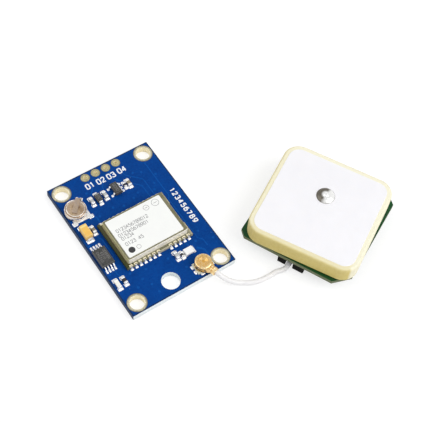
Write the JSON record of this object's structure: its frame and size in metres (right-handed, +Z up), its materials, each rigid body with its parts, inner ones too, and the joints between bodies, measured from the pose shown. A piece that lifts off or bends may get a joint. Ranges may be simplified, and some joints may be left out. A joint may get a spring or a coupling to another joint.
{
  "type": "gps module",
  "caption": "Small satellite positioning receiver board with a shielded module and backup cell, joined by a thin coax lead to a square ceramic patch antenna.",
  "frame": {"origin": "middle of the receiver board's underside, on the plane that the board and the antenna rest on", "axes": "+X along the edge with the four header holes, towards the side where the antenna lies; +Y across the board towards that header edge; +Z up, out of the face that carries the parts"},
  "size_m": [0.0612, 0.0522, 0.0089],
  "materials": {
    "board": "blue solder mask over glass fibre board, pale cut edges",
    "plating": "gold plating",
    "module_substrate": "green solder mask with tinned half-round edges",
    "module_can": "tinned sheet steel",
    "label": "white printed label",
    "chip_moulding": "black epoxy moulding",
    "resistor": "black glazed body with tinned ends",
    "cell": "stainless coin cell, browned on top",
    "tin": "bright tin plating",
    "tantalum_moulding": "orange epoxy moulding",
    "capacitor_ceramic": "tan body with tinned ends",
    "inductor_ceramic": "white coated coil block with tinned ends",
    "light": "clear white resin with tinned ends",
    "socket_plastic": "off-white plastic",
    "lead_jacket": "white fluoropolymer jacket",
    "lead_clip_foam": "black rubber",
    "antenna_ceramic": "unglazed ochre ceramic",
    "antenna_silver": "fired silver paint",
    "solder": "solder dome on a tinned pin",
    "antenna_tape": "dark double-sided tape",
    "antenna_board": "green solder mask",
    "antenna_shield": "tinned sheet steel"
  },
  "bodies": {
    "root": {"amplifier_chip": "chip_moulding", "amplifier_shield": "antenna_shield", "antenna_board": "antenna_board", "antenna_cable": "lead_jacket", "antenna_ceramic": "antenna_ceramic", "antenna_electrode": "antenna_silver", "antenna_feed_pin": "solder", "antenna_tape": "antenna_tape", "backup_cell": "cell", "cell_bottom_tab": "tin", "cell_top_tab": "tin", "coax_plug": "plating", "diode_body": "chip_moulding", "diode_lead_1": "tin", "diode_lead_2": "tin", "feed_capacitor": "capacitor_ceramic", "feed_inductor": "inductor_ceramic", "feed_resistor": "resistor", "header_sleeve_1": "plating", "header_sleeve_2": "plating", "header_sleeve_3": "plating", "header_sleeve_4": "plating", "lead_clip": "lead_clip_foam", "led_resistor": "resistor", "main_board": "board", "memory_body": "chip_moulding", "memory_lead_1": "tin", "memory_lead_2": "tin", "memory_lead_3": "tin", "memory_lead_4": "tin", "memory_lead_5": "tin", "memory_lead_6": "tin", "memory_lead_7": "tin", "memory_lead_8": "tin", "mounting_sleeve_1": "plating", "mounting_sleeve_2": "plating", "mounting_sleeve_3": "plating", "mounting_sleeve_4": "plating", "receiver_can": "module_can", "receiver_carrier": "module_substrate", "receiver_chip": "chip_moulding", "receiver_label": "label", "regulator_body": "chip_moulding", "regulator_lead_1": "tin", "regulator_lead_2": "tin", "regulator_lead_3": "tin", "regulator_lead_4": "tin", "regulator_lead_5": "tin", "row_capacitor_1": "capacitor_ceramic", "row_capacitor_2": "capacitor_ceramic", "row_capacitor_3": "capacitor_ceramic", "row_resistor": "resistor", "side_capacitor": "capacitor_ceramic", "socket_base": "socket_plastic", "socket_pin": "plating", "socket_shell": "plating", "status_led": "light", "tantalum_body": "tantalum_moulding", "tantalum_terminal_minus": "tin", "tantalum_terminal_plus": "tin"}
  },
  "joints": []
}
